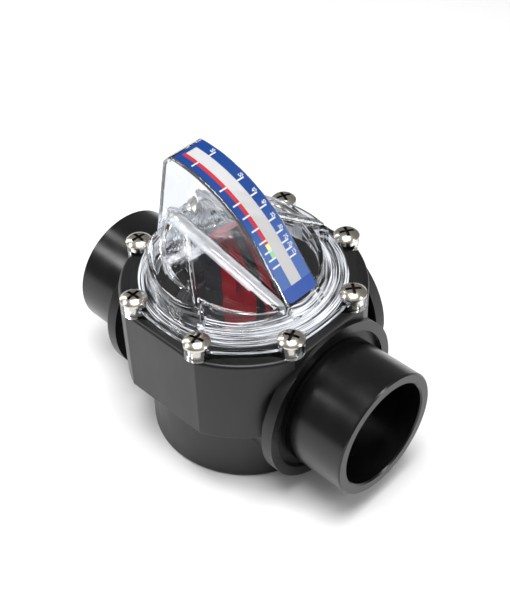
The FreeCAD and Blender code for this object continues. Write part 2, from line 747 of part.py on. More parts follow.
def flapper_web(body):
    """The upright web from the disc to the pointer's arc, with the pointer's flanges."""
    web = new_sketch(body, "web_outline", "XZ_Plane")
    draw_outline(web, [
        ("-1 * " + DISC_BACK + " - 0.5", "axis_height - 0.7 * disc_radius"),
        around_pivot(SECTOR_RADIUS, "-1 * sector_low_angle") + (SECTOR_RADIUS, 1),
        around_pivot(SECTOR_RADIUS, TOP_ANGLE),
        along_top("sector_start", "sector_offset"),
        ("-1 * pivot_x - hub_radius / 2", PIVOT_Z + " + 0.75 * hub_radius"),
        ("-1 * pivot_x - 0.7 * hub_radius", PIVOT_Z + " - 0.65 * hub_radius"),
        ("-1 * " + DISC_FRONT, "axis_height + disc_radius + 4"),
        ("-1 * " + DISC_BACK + " - 0.5", "axis_height + disc_radius - 3"),
    ])
    pad(body, "web", web, "web_thickness", symmetric=True)
    reach = "sqrt( " + SECTOR_RADIUS + " ^2 - sector_offset ^2 )"
    top = new_sketch(body, "top_flange_outline", "XZ_Plane")
    draw_outline(top, [
        along_top("sector_start", "sector_offset - flapper_flange"),
        along_top(reach, "sector_offset - flapper_flange"),
        along_top(reach, "sector_offset"), along_top("sector_start", "sector_offset"),
    ])
    pad(body, "top_flange", top, "2 * flange_half_width", symmetric=True)
    arc_band(body, "rim_flange", SECTOR_RADIUS, SECTOR_RADIUS + " - flapper_flange", "flange_half_width")
    arc_band(body, "mid_rib", "mid_rib_radius", "mid_rib_radius - flapper_flange", "mid_rib_half_width")


def flapper_hub(body):
    arm = new_sketch(body, "arm_outline", "XZ_Plane")
    draw_outline(arm, [
        ("-1 * pivot_x - 0.7 * hub_radius", PIVOT_Z + " - 0.65 * hub_radius"),
        ("-1 * " + DISC_FRONT, "axis_height + disc_radius + 4"),
        ("-1 * " + DISC_FRONT, "axis_height + disc_radius - 4"),
        ("-1 * " + DISC_BACK, "axis_height + disc_radius - 4"),
        ("-1 * " + DISC_BACK, "axis_height + disc_radius + 6"),
        ("0.9 * hub_radius - pivot_x", PIVOT_Z),
    ])
    pad(body, "arm", arm, "2 * hub_half_width", symmetric=True)
    hub = new_sketch(body, "hub_circle", "XZ_Plane")
    draw_circle(hub, "-1 * pivot_x", PIVOT_Z, "hub_radius")
    pad(body, "hub", hub, "2 * hub_half_width", symmetric=True)
    bore = new_sketch(body, "hub_bore_circle", "XZ_Plane")
    draw_circle(bore, "-1 * pivot_x", PIVOT_Z, "pin_radius + pin_clearance")
    pocket(body, "hub_bore", bore, "2 * hub_half_width", symmetric=True)
    pilot = new_sketch(body, "retainer_pilot_circle", "YZ_Plane", "-1 * " + DISC_FRONT)
    draw_circle(pilot, "0", "axis_height", "retainer_screw_radius + thread_clearance")
    pocket(body, "retainer_pilot", pilot, "disc_thickness + screw_boss_length - 2", backwards=True)


def make_flapper():
    body = new_body("flapper")
    flapper_disc(body)
    flapper_web(body)
    flapper_hub(body)
    return body


# ---- seals, pin, screws and springs ---------------------------------------------------

def disc_plate(label, outer, hole, start, thickness):
    """A flat round plate across the pipe axis with a centre hole."""
    body = new_body(label)
    face = new_sketch(body, label + "_rings", "YZ_Plane", start)
    draw_circle(face, "0", "axis_height", outer)
    draw_circle(face, "0", "axis_height", hole)
    pad(body, label + "_plate", face, thickness)
    return body


def make_flapper_seal():
    body = disc_plate("flapper_seal", "disc_radius - seal_margin", "retainer_screw_radius + 0.2",
                      "-1 * " + DISC_FRONT + " - seal_thickness", "seal_thickness")
    dress(body, "Fillet", "seal_edge", "seal_thickness / 4",
          lambda e: e.BoundBox.ZLength > 2 * value("retainer_radius"))
    return body


def make_seal_retainer():
    return disc_plate("seal_retainer", "retainer_radius", "retainer_screw_radius + 0.2",
                      "-1 * " + DISC_FRONT + " - seal_thickness - retainer_thickness", "retainer_thickness")


def make_o_ring():
    ring = doc.addObject("Part::Torus", "lid_o_ring")
    ring.Label = "lid_o_ring"
    bind(ring, "Radius1", "seal_ring_radius")
    bind(ring, "Radius2", "seal_cord_radius")
    bind(ring, "Placement.Base.z", "body_top - seal_cord_radius - seal_clearance")
    return ring


def make_screw(label, head, height, shank, length, slot_width, slot_length, slot_depth):
    """A pan-head screw along Z with its bearing face at the origin and a cross recess."""
    body = new_body(label)
    profile = new_sketch(body, label + "_profile", "XZ_Plane")
    point = "( %s - %s )" % (length, shank)
    draw_outline(profile, [
        ("0", "-1 * " + length), ("0.3 * " + shank, "-1 * " + length), (shank, "-1 * " + point),
        (shank, "0"), (head, "0"), (head, "0.3 * " + height, head, 1), ("0.3 * " + head, height),
        ("0", height),
    ])
    turn_profile(body, "Revolution", label + "_turned", profile)
    cross = new_sketch(body, label + "_cross", "XY_Plane", height)
    half, reach = "( %s / 2 )" % slot_width, "( %s / 2 )" % slot_length
    arm = [(reach, "-1 * " + half), (reach, half), (half, half)]
    outline = [turned_quarter(x, y, quarter) for quarter in range(4) for x, y in arm]
    draw_outline(cross, outline)
    pocket(body, label + "_recess", cross, slot_depth)
    return body


def turned_quarter(x, y, quarter):
    """Turn a point of expressions by quarter turns about the origin."""
    for _ in range(quarter):
        x, y = "-1 * ( %s )" % y, x
    return x, y


def make_lid_screws():
    """One screw, copied around the bolt circle."""
    screw = make_screw("lid_screw", "head_radius", "head_height", "screw_radius", "screw_length",
                       "driver_width", "driver_length", "driver_depth")
    count, radius = int(value("bolt_count")), value("bolt_circle_radius")
    height = value("body_top + boss_height")
    copies = []
    for i in range(count):
        angle = 360.0 * (i + 0.5) / count
        turn = FreeCAD.Rotation(FreeCAD.Vector(0, 0, 1), angle * 2.2)
        spot = FreeCAD.Vector(radius, 0, height)
        spot = FreeCAD.Rotation(FreeCAD.Vector(0, 0, 1), angle).multVec(spot)
        copy = screw.Shape.copy()
        copy.Placement = FreeCAD.Placement(spot, turn)
        copies.append(copy)
    group = doc.addObject("Part::Feature", "lid_screws")
    group.Label = "lid_screws"
    group.Shape = Part.makeCompound(copies)
    return group


def make_retainer_screw():
    body = make_screw("retainer_screw", "retainer_head_radius", "retainer_head_height",
                      "retainer_screw_radius", "retainer_screw_length",
                      "driver_width / 2", "driver_length / 2", "driver_depth / 2")
    body.Placement.Rotation = FreeCAD.Rotation(FreeCAD.Vector(0, 1, 0), -90)
    bind(body, "Placement.Base.x", "-1 * " + DISC_FRONT + " - seal_thickness - retainer_thickness")
    bind(body, "Placement.Base.z", "axis_height")
    return body


PIN_HALF = "( lug_near + lug_thickness + pin_overhang )"
CLIP_NEAR = "( lug_near + lug_thickness + clip_clearance )"


def make_hinge_pin():
    body = new_body("hinge_pin")
    profile = new_sketch(body, "pin_profile", "XZ_Plane")
    near_end, far_end = CLIP_NEAR, "( %s + clip_thickness + clip_clearance )" % CLIP_NEAR
    neck = "pin_radius - clip_groove"
    draw_outline(profile, [
        ("0", "-1 * " + PIN_HALF), ("pin_radius - 0.3", "-1 * " + PIN_HALF),
        ("pin_radius", "0.3 - " + PIN_HALF), ("pin_radius", "-1 * " + far_end), (neck, "-1 * " + far_end),
        (neck, "-1 * " + near_end), ("pin_radius", "-1 * " + near_end), ("pin_radius", near_end),
        (neck, near_end), (neck, far_end), ("pin_radius", far_end), ("pin_radius", PIN_HALF + " - 0.3"),
        ("pin_radius - 0.3", PIN_HALF), ("0", PIN_HALF),
    ])
    turn_profile(body, "Revolution", "pin_turned", profile)
    body.Placement.Rotation = FreeCAD.Rotation(FreeCAD.Vector(1, 0, 0), 90)
    bind(body, "Placement.Base.x", "-1 * pivot_x")
    bind(body, "Placement.Base.z", PIVOT_Z)
    return body


def make_pin_clips():
    """Two open snap rings in the pin's grooves."""
    body = new_body("pin_clip")
    ring = new_sketch(body, "clip_rings", "XZ_Plane", CLIP_NEAR)
    draw_circle(ring, "-1 * pivot_x", PIVOT_Z, "clip_radius")
    draw_circle(ring, "-1 * pivot_x", PIVOT_Z, "pin_radius - clip_groove + clip_clearance")
    pad(body, "clip", ring, "clip_thickness")
    gap = new_sketch(body, "clip_mouth", "XZ_Plane")
    draw_outline(gap, [
        ("-1 * pivot_x - pin_radius / 2", PIVOT_Z + " - clip_radius - 1"),
        ("pin_radius / 2 - pivot_x", PIVOT_Z + " - clip_radius - 1"),
        ("pin_radius / 2 - pivot_x", PIVOT_Z), ("-1 * pivot_x - pin_radius / 2", PIVOT_Z),
    ])
    pocket(body, "mouth", gap, "3 * " + PIN_HALF, symmetric=True)
    other = body.Shape.mirror(FreeCAD.Vector(0, 0, 0), FreeCAD.Vector(0, 1, 0))
    group = doc.addObject("Part::Feature", "pin_clips")
    group.Label = "pin_clips"
    group.Shape = Part.makeCompound([body.Shape, other])
    return group


def wire_rod(start, end, radius):
    way = end - start
    return Part.makeCylinder(radius, way.Length, start, way)


def spring_wire():
    """A torsion spring along Z: the coil starts on the X axis, with a straight leg at each end."""
    wire, coil = value("wire_radius"), value("coil_radius")
    length = value("lug_near - hub_half_width - 2 * spring_gap - 2 * wire_radius")
    lift = math.degrees(math.atan2(value("sector_offset"), value("sector_start")))
    corner = math.hypot(value("sector_offset"), value("sector_start"))
    press = math.degrees(math.asin((coil - wire - value("spring_touch")) / corner))
    lean = value("sector_angle") + lift - press
    rest_x = value("pivot_x") - math.sqrt(value(HOOD_RADIUS + " - lid_wall") ** 2
                                         - value("lug_near - spring_gap") ** 2)
    rest_z = value(RING_TOP + " - lid_wall - " + PIVOT_Z)
    sag = math.degrees(math.asin((coil - wire - value("spring_touch")) / math.hypot(rest_x, rest_z)))
    rise = math.degrees(math.atan2(rest_z, rest_x)) + sag
    part_turn = (rise - lean - 180) % 360
    turns = value("coil_turns") + part_turn / 360
    helix = Part.makeHelix(length / turns, length, coil)
    ring = Part.Wire(Part.makeCircle(wire, FreeCAD.Vector(coil, 0, 0), FreeCAD.Vector(0, 1, 0)))
    coil_solid = Part.Wire(helix.Edges).makePipeShell([ring], True, True)
    start = FreeCAD.Vector(coil, 0, 0)
    end = FreeCAD.Rotation(FreeCAD.Vector(0, 0, 1), part_turn).multVec(start)
    along = FreeCAD.Vector(-end.y, end.x, 0).normalize()
    end.z = length
    fixed_length = math.hypot(rest_x, rest_z) * math.cos(math.radians(sag)) + value("fixed_leg_past")
    moving_leg = wire_rod(start, start + FreeCAD.Vector(0, -value("spring_leg"), 0), wire)
    fixed_leg = wire_rod(end, end + along * fixed_length, wire)
    joints = [Part.makeSphere(wire, start), Part.makeSphere(wire, end)]
    return coil_solid.fuse([moving_leg, fixed_leg] + joints).removeSplitter(), lean


def make_springs():
    """The pair of springs, mirror images of each other, one on each side of the hub."""
    shape, lean = spring_wire()
    tilt = math.radians(lean)
    across = FreeCAD.Vector(-math.sin(tilt), 0, math.cos(tilt))
    inwards = FreeCAD.Vector(-math.cos(tilt), 0, -math.sin(tilt))
    place = FreeCAD.Placement()
    place.Rotation = FreeCAD.Rotation(across, inwards, FreeCAD.Vector(0, -1, 0), "ZXY")
    near_end = value("hub_half_width + spring_gap + wire_radius")
    place.Base = FreeCAD.Vector(-value("pivot_x"), -near_end, value(PIVOT_Z))
    shape.Placement = place
    springs = []
    other = shape.mirror(FreeCAD.Vector(0, 0, 0), FreeCAD.Vector(0, 1, 0))
    for label, solid in (("right_spring", shape), ("left_spring", other)):
        spring = doc.addObject("Part::Feature", label)
        spring.Label = label
        spring.Shape = solid
        springs.append(spring)
    return springs


def make_scale_label():
    """A thin printed strip that follows the fin's crest and front."""
    body = new_body("scale_label")
    x, z = fin_end("0")
    out_x, out_z = fin_end("( 0 - label_thickness )")
    run = " + ( %s - label_end_height ) / tan( fin_arc_angle )" % z
    first = "label_start_angle"
    centre = "fin_crest - fin_arc_radius"
    outer = "( fin_arc_radius + label_thickness )"
    outline = new_sketch(body, "label_section", "XZ_Plane")
    draw_outline(outline, [
        ("fin_arc_radius * sin( %s ) - fin_crest_x" % first,
         "fin_arc_radius * cos( %s ) + %s" % (first, centre), "fin_arc_radius", -1),
        (x, z), (x + run, "label_end_height"),
        (out_x + run, out_z + " - " + z + " + label_end_height"),
        (out_x, out_z, outer, 1),
        (outer + " * sin( %s ) - fin_crest_x" % first, outer + " * cos( %s ) + %s" % (first, centre)),
    ])
    pad(body, "strip", outline, "2 * label_half_width", symmetric=True)
    low, thin = value("label_end_height"), value("label_thickness")

    def lower_corner(edge):
        return near(edge.Length, thin) and edge.CenterOfMass.z < low + 1

    dress(body, "Fillet", "strip_corners", "label_round", lower_corner)
    return body


def seated_parts():
    return [
        make_body(), make_lid(), make_o_ring(), make_lid_screws(), make_scale_label(), make_hinge_pin(),
        make_pin_clips(), *make_springs(), make_flapper(), make_flapper_seal(), make_seal_retainer(),
        make_retainer_screw(),
    ]


def check_document(parts):
    doc.recompute()
    for item in doc.Objects:
        if "Invalid" in item.State or "Error" in item.State:
            raise RuntimeError(item.Name + " failed: " + item.getStatusString())
    for part in parts:
        shape = part.Shape
        if shape.isNull() or not shape.isValid() or shape.Volume <= 0:
            raise RuntimeError(part.Label + " has a bad shape")


def main():
    fill_sheet()
    parts = seated_parts()
    check_document(parts)
    os.makedirs("parts", exist_ok=True)
    for part in parts:
        part.Shape.exportStep("parts/%s.step" % part.Label)
        print("%-16s %9.1f mm3, %d solid(s)" % (part.Label, part.Shape.Volume, len(part.Shape.Solids)))


main()
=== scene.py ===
import math
import bpy
import numpy as np
from mathutils import Matrix, Vector


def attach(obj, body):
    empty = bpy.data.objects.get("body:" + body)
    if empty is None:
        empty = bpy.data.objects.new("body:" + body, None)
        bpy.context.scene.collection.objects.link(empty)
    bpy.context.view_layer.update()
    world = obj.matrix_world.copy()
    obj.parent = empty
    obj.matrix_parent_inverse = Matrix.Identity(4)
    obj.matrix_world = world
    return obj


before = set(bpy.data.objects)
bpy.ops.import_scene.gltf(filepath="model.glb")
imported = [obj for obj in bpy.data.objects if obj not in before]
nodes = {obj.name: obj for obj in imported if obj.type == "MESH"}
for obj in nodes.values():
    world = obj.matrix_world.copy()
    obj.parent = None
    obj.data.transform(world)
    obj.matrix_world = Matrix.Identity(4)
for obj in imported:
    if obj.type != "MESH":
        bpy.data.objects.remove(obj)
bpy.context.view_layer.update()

print("frame loaded:", len(nodes), "CAD nodes")


class Wire:
    # One output socket. Python's operators on it add Math nodes to its finish.
    def __init__(self, finish, socket):
        self.finish = finish
        self.socket = socket

    def math(self, operation, *values, clamp=False):
        return self.finish.add("Math", {"operation": operation, "use_clamp": clamp}, dict(enumerate(values)))

    def __add__(self, other): return self.math("ADD", self, other)
    def __radd__(self, other): return self.math("ADD", other, self)
    def __sub__(self, other): return self.math("SUBTRACT", self, other)
    def __rsub__(self, other): return self.math("SUBTRACT", other, self)
    def __mul__(self, other): return self.math("MULTIPLY", self, other)
    def __rmul__(self, other): return self.math("MULTIPLY", other, self)
    def __truediv__(self, other): return self.math("DIVIDE", self, other)
    def __rtruediv__(self, other): return self.math("DIVIDE", other, self)
    def __abs__(self): return self.math("ABSOLUTE", self)
    def __gt__(self, other): return self.math("GREATER_THAN", self, other)
    def __lt__(self, other): return self.math("LESS_THAN", self, other)


class Finish:
    # A node material. add() takes a node's type, its settings and its sockets' values or links.
    def __init__(self, name):
        self.material = bpy.data.materials.new(name)
        self.material.use_nodes = True
        self.tree = self.material.node_tree
        self.tree.nodes.clear()

    def add(self, kind, settings=None, inputs=None, output=0):
        node = self.tree.nodes.new("ShaderNode" + kind)
        for key, setting in (settings or {}).items():
            setattr(node, key, setting)
        for key, entry in (inputs or {}).items():
            if isinstance(entry, Wire):
                self.tree.links.new(entry.socket, node.inputs[key])
            else:
                node.inputs[key].default_value = entry
        return Wire(self, node.outputs[output]) if node.outputs else None

    def place(self):
        return self.add("TexCoord", output="Object")

    def axes(self):
        # The three Object coordinates, in metres.
        split = self.add("SeparateXYZ", inputs={0: self.place()})
        return [Wire(self, split.socket.node.outputs[axis]) for axis in range(3)]

    def length(self, first, second):
        # How long the flat vector of these two values is.
        total = first * first + second * second
        return total.math("SQRT", total)

    def noise(self, scale, detail, rough, where=None, stretch=None):
        spot = where or self.place()
        if stretch:
            spot = self.add("Mapping", inputs={"Vector": spot, "Scale": stretch})
        pattern = {"Vector": spot, "Scale": scale, "Detail": detail, "Roughness": rough}
        return self.add("TexNoise", inputs=pattern)

    def blend(self, mask, first, second):
        # A colour that goes from first to second as the mask goes from 0 to 1.
        return self.add("Mix", {"data_type": "RGBA"}, {0: mask, 6: first, 7: second}, output=2)

    def bump(self, height, distance, strength):
        return self.add("Bump", inputs={"Height": height, "Distance": distance, "Strength": strength})

    def shade(self, **inputs):
        names = {key.replace("_", " "): entry for key, entry in inputs.items()}
        self.finishWith(self.add("BsdfPrincipled", inputs=names))

    def finishWith(self, shader):
        self.add("OutputMaterial", inputs={"Surface": shader})


def rgb(red, green, blue):
    return (red, green, blue, 1.0)


def varied(look, noise):
    # The look's roughness, spread to both sides of its middle by the noise.
    return look["roughness"] + (noise - 0.5) * look["spread"]


def dress(nodeName, finish):
    # Puts the finish into every material slot of a CAD node.
    mesh = nodes[nodeName].data
    if not mesh.materials:
        mesh.materials.append(finish.material)
    for place in range(len(mesh.materials)):
        mesh.materials[place] = finish.material


bodyLook = {
    "dark": rgb(0.0015, 0.0015, 0.0018),
    "light": rgb(0.0045, 0.0045, 0.0048),
    "roughness": 0.40,
    "spread": 0.18,
    "stubFrom": 0.0640,
    "stubSheen": 0.17,
    "cloudScale": 35.0,
    "smearScale": 90.0,
    "smearStretch": (1.0, 1.0, 0.3),
    "grainScale": 1500.0,
    "grainDepth": 0.00003,
    "grainStrength": 0.35,
    "ior": 1.45,
}


def blackPlastic():
    # The turned pipe stubs are smoother than the moulded housing.
    finish = Finish("blackPlastic")
    x = finish.axes()[0]
    cloud = finish.noise(bodyLook["cloudScale"], detail=4.0, rough=0.6)
    grain = finish.noise(bodyLook["grainScale"], detail=2.0, rough=0.6)
    smear = finish.noise(bodyLook["smearScale"], detail=3.0, rough=0.6, stretch=bodyLook["smearStretch"])
    colour = finish.blend(cloud, bodyLook["dark"], bodyLook["light"])
    onStub = abs(x) > bodyLook["stubFrom"]
    rough = varied(bodyLook, smear) - onStub * bodyLook["stubSheen"]
    finish.shade(Base_Color=colour, Roughness=rough, IOR=bodyLook["ior"],
                 Normal=finish.bump(grain, bodyLook["grainDepth"], bodyLook["grainStrength"]))
    return finish


lidLook = {
    "tint": rgb(0.95, 0.96, 0.975),
    "roughness": 0.012,
    "ior": 1.58,
    "clear": 1.0,
    "shadow": rgb(0.75, 0.76, 0.77),
    "waveScale": 60.0,
    "waveDepth": 0.0005,
    "waveStrength": 0.6,
    "frostAndHighlightWhite": rgb(0.78, 0.80, 0.84),
    "frostRoughness": 0.28,
    "ringFrom": 0.0430,
    "ringTo": 0.0565,
    "ringTop": 0.1120,
    "paintedRingGlints": 0.85,
    "streakAround": 0.9,
    "streakAcross": 700,
    "streakScale": 1.6,
    "streakFrom": 0.47,
    "streakGain": 6.0,
    "finFrom": 0.0105,
    "finFoot": 0.1290,
    "finFrost": 0.07,
    "finTint": rgb(0.80, 0.82, 0.87),
    "cloudScale": 95.0,
    "cloudStretch": (1.0, 0.6, 2.2),
    "cloudFrom": 0.50,
    "cloudGain": 5.0,
    "lobeFrom": -0.0100,
    "lobeFrost": 0.6,
    "footFrom": 0.0121,
    "footTo": 0.0168,
    "paintedFootHighlight": 0.55,
    "footEven": 0.2,
}


def clearPlastic():
    # Slow waves from the mould bend what shows through. Painted glints: white frost streaks run round
    # the flange's rings; their noise changes slowly with the direction from the axis and quickly with
    # the distance from it. The lobes are cloudy, a whiter band of frost on the fin's foot is a painted
    # highlight, and the fin's sides have a little frost.
    # The lamps' light passes the lid, as it does clear plastic, so the pointer inside is lit.
    finish = Finish("clearPlastic")
    x, y, z = finish.axes()
    wave = finish.noise(lidLook["waveScale"], detail=2.0, rough=0.5)
    bent = finish.bump(wave, lidLook["waveDepth"], lidLook["waveStrength"])
    radius = finish.length(x, y)
    around = lidLook["streakAround"]
    ringPlace = finish.add("CombineXYZ", inputs={
        0: x / radius * around, 1: y / radius * around, 2: radius * lidLook["streakAcross"]})
    streak = finish.noise(lidLook["streakScale"], detail=3.0, rough=0.55, where=ringPlace)
    white = streak.math("MULTIPLY", streak - lidLook["streakFrom"], lidLook["streakGain"], clamp=True)
    ringed = (radius > lidLook["ringFrom"]) * (radius < lidLook["ringTo"]) * (z < lidLook["ringTop"])
    # Painted glints: white frost laid in the streaks on the flange's rings.
    paintedRingGlints = ringed * white * lidLook["paintedRingGlints"]
    cloud = finish.noise(lidLook["cloudScale"], detail=4.0, rough=0.6, stretch=lidLook["cloudStretch"])
    milky = cloud.math("MULTIPLY", cloud - lidLook["cloudFrom"], lidLook["cloudGain"], clamp=True)
    onHood = radius < lidLook["ringFrom"]
    side = abs(y)
    onLobes = onHood * (x < lidLook["lobeFrom"]) * (side > lidLook["footTo"])
    lobeFrost = onLobes * milky * lidLook["lobeFrost"]
    # Painted highlight: a whiter band of frost along the fin's foot.
    onFoot = onHood * (z > lidLook["ringTop"]) * (side > lidLook["footFrom"]) * (side < lidLook["footTo"])
    paintedFootHighlight = onFoot * (cloud + lidLook["footEven"]) * lidLook["paintedFootHighlight"]
    onFin = (side > lidLook["finFrom"]) * (side < lidLook["footFrom"]) * (z > lidLook["finFoot"])
    finFrost = onFin * lidLook["finFrost"]
    plastic = finish.add("BsdfPrincipled", inputs={
        "Base Color": finish.blend(onFin, lidLook["tint"], lidLook["finTint"]),
        "Roughness": lidLook["roughness"], "IOR": lidLook["ior"],
        "Transmission Weight": lidLook["clear"], "Normal": bent})
    frostAndHighlightWhite = finish.add("BsdfPrincipled", inputs={
        "Base Color": lidLook["frostAndHighlightWhite"], "Roughness": lidLook["frostRoughness"], "Normal": bent})
    frostAndHighlights = paintedRingGlints + lobeFrost + paintedFootHighlight + finFrost
    mixed = finish.add("MixShader", inputs={0: frostAndHighlights, 1: plastic, 2: frostAndHighlightWhite})
    passing = finish.add("BsdfTransparent", inputs={"Color": lidLook["shadow"]})
    shadowRay = finish.add("LightPath", output="Is Shadow Ray")
    finish.finishWith(finish.add("MixShader", inputs={0: shadowRay, 1: mixed, 2: passing}))
    return finish


flapperLook = {
    "deep": rgb(0.36, 0.004, 0.010),
    "bright": rgb(0.50, 0.006, 0.016),
    "dark": rgb(0.025, 0.025, 0.028),
    "black": rgb(0.006, 0.006, 0.006),
    "roughness": 0.3,
    "spread": 0.1,
    "cloudScale": 60.0,
    "ior": 1.52,
    "darkBefore": -0.0160,
    "pivot": (-0.0415, 0.0959),
    "rimFrom": 0.0586,
    "rimRed": 0.0033,
}


def redPlastic():
    # The pointer is red with black edges, the hub end is dark grey.
    finish = Finish("redPlastic")
    x, y, z = finish.axes()
    pivotX, pivotZ = flapperLook["pivot"]
    reach = finish.length(x - pivotX, z - pivotZ)
    cloud = finish.noise(flapperLook["cloudScale"], detail=3.0, rough=0.6)
    colour = finish.blend(cloud, flapperLook["deep"], flapperLook["bright"])
    edge = (reach > flapperLook["rimFrom"]) * (abs(y) > flapperLook["rimRed"]) * (x > 0)
    colour = finish.blend(edge, colour, flapperLook["black"])
    colour = finish.blend(x < flapperLook["darkBefore"], colour, flapperLook["dark"])
    finish.shade(Base_Color=colour, Roughness=varied(flapperLook, cloud), IOR=flapperLook["ior"])
    return finish


steelLook = {
    "dull": rgb(0.52, 0.49, 0.43),
    "bright": rgb(0.68, 0.65, 0.59),
    "fineScale": 2600.0,
    "cloudScale": 300.0,
    "roughness": 0.22,
    "spread": 0.2,
    "bumpDepth": 0.00002,
    "bumpStrength": 0.3,
}


def stainless():
    finish = Finish("stainless")
    fine = finish.noise(steelLook["fineScale"], detail=2.0, rough=0.7)
    cloud = finish.noise(steelLook["cloudScale"], detail=2.0, rough=0.5)
    colour = finish.blend(cloud, steelLook["dull"], steelLook["bright"])
    finish.shade(Base_Color=colour, Metallic=1.0, Roughness=varied(steelLook, fine),
                 Normal=finish.bump(fine, steelLook["bumpDepth"], steelLook["bumpStrength"]))
    return finish


screwLook = {
    "bright": rgb(0.66, 0.63, 0.56),
    "dull": rgb(0.50, 0.47, 0.41),
    "recess": rgb(0.035, 0.028, 0.02),
    "circle": 0.0615,
    "reach": 0.0044,
    "from": 0.1080,
    "to": 0.10985,
    "count": 8,
    "roughness": 0.24,
    "spread": 0.16,
    "recessRoughness": 0.25,
}


def screwSteel():
    # The eight screws are folded onto one: what lies low inside its head is the cross recess, which gets
    # painted dark shade and more roughness.
    finish = Finish("screwSteel")
    x, y, z = finish.axes()
    step = 2 * math.pi / screwLook["count"]
    turn = finish.add("Math", {"operation": "ARCTAN2"}, {0: y, 1: x})
    folded = turn.math("FLOORED_MODULO", turn, step) - step / 2
    radius = finish.length(x, y)
    ahead = radius * folded.math("COSINE", folded) - screwLook["circle"]
    beside = radius * folded.math("SINE", folded)
    near = finish.length(ahead, beside) < screwLook["reach"]
    recess = near * (z > screwLook["from"]) * (z < screwLook["to"])
    fine = finish.noise(steelLook["fineScale"], detail=2.0, rough=0.7)
    cloud = finish.noise(steelLook["cloudScale"], detail=2.0, rough=0.5)
    colour = finish.blend(cloud, screwLook["dull"], screwLook["bright"])
    # Painted shade: the cross recess is coloured near black.
    colour = finish.blend(recess, colour, screwLook["recess"])
    rough = varied(screwLook, fine) + recess * screwLook["recessRoughness"]
    finish.shade(Base_Color=colour, Metallic=1.0, Roughness=rough,
                 Normal=finish.bump(fine, steelLook["bumpDepth"], steelLook["bumpStrength"]))
    return finish


springLook = {
    "dull": rgb(0.4, 0.4, 0.41),
    "bright": rgb(0.6, 0.6, 0.6),
    "fineScale": 900.0,
    "roughness": 0.3,
    "spread": 0.2,
}


def springSteel():
    finish = Finish("springSteel")
    fine = finish.noise(springLook["fineScale"], detail=2.0, rough=0.7)
    colour = finish.blend(fine, springLook["dull"], springLook["bright"])
    finish.shade(Base_Color=colour, Metallic=1.0, Roughness=varied(springLook, fine))
    return finish


rubberLook = {
    "dark": rgb(0.01, 0.01, 0.01),
    "light": rgb(0.03, 0.03, 0.03),
    "fineScale": 1800.0,
    "roughness": 0.6,
    "spread": 0.2,
    "bumpDepth": 0.00003,
    "bumpStrength": 0.5,
}


def blackRubber():
    finish = Finish("blackRubber")
    fine = finish.noise(rubberLook["fineScale"], detail=3.0, rough=0.7)
    colour = finish.blend(fine, rubberLook["dark"], rubberLook["light"])
    finish.shade(Base_Color=colour, Roughness=varied(rubberLook, fine),
                 Normal=finish.bump(fine, rubberLook["bumpDepth"], rubberLook["bumpStrength"]))
    return finish


labelLook = {
    "blue": rgb(0.001, 0.036, 0.19),
    "glareBlue": rgb(0.035, 0.095, 0.30),
    "capBlue": rgb(0.001, 0.045, 0.26),
    "white": rgb(0.56, 0.555, 0.56),
    "red": rgb(0.42, 0.018, 0.03),
    "yellow": rgb(0.70, 0.66, 0.22),
    "green": rgb(0.20, 0.50, 0.28),
    "arcCentre": (-0.0395, 0.0826),
    "arcRadius": 0.0833,
    "arcAngle": math.radians(50),
    "marks": (0.0142, 0.0350, 0.0455, 0.0534, 0.0613, 0.0685, 0.0742, 0.0785, 0.0826),
    "markWidth": 0.0009,
    "markSides": ((-0.0088, -0.0038), (0.0036, 0.0083)),
    "windowSide": 0.0037,
    "windowRun": (0.0047, 0.0950),
    "lineSide": (-0.0060, -0.0037),
    "lineRun": (0.0043, 0.0785),
    "yellowFrom": 0.0703,
    "greenFrom": 0.0735,
    "capFrom": 0.0950,
    "roughness": 0.36,
    "glareFrom": 0.045,
    "glareOver": 0.030,
    "windowAlpha": 0.62,
    "cornerRound": 0.0025,
    "halfWidth": 0.0104,
    "end": 0.10275,
}


def between(wire, limits):
    # 1 inside the two limits, 0 outside them.
    return (wire > limits[0]) * (wire < limits[1])


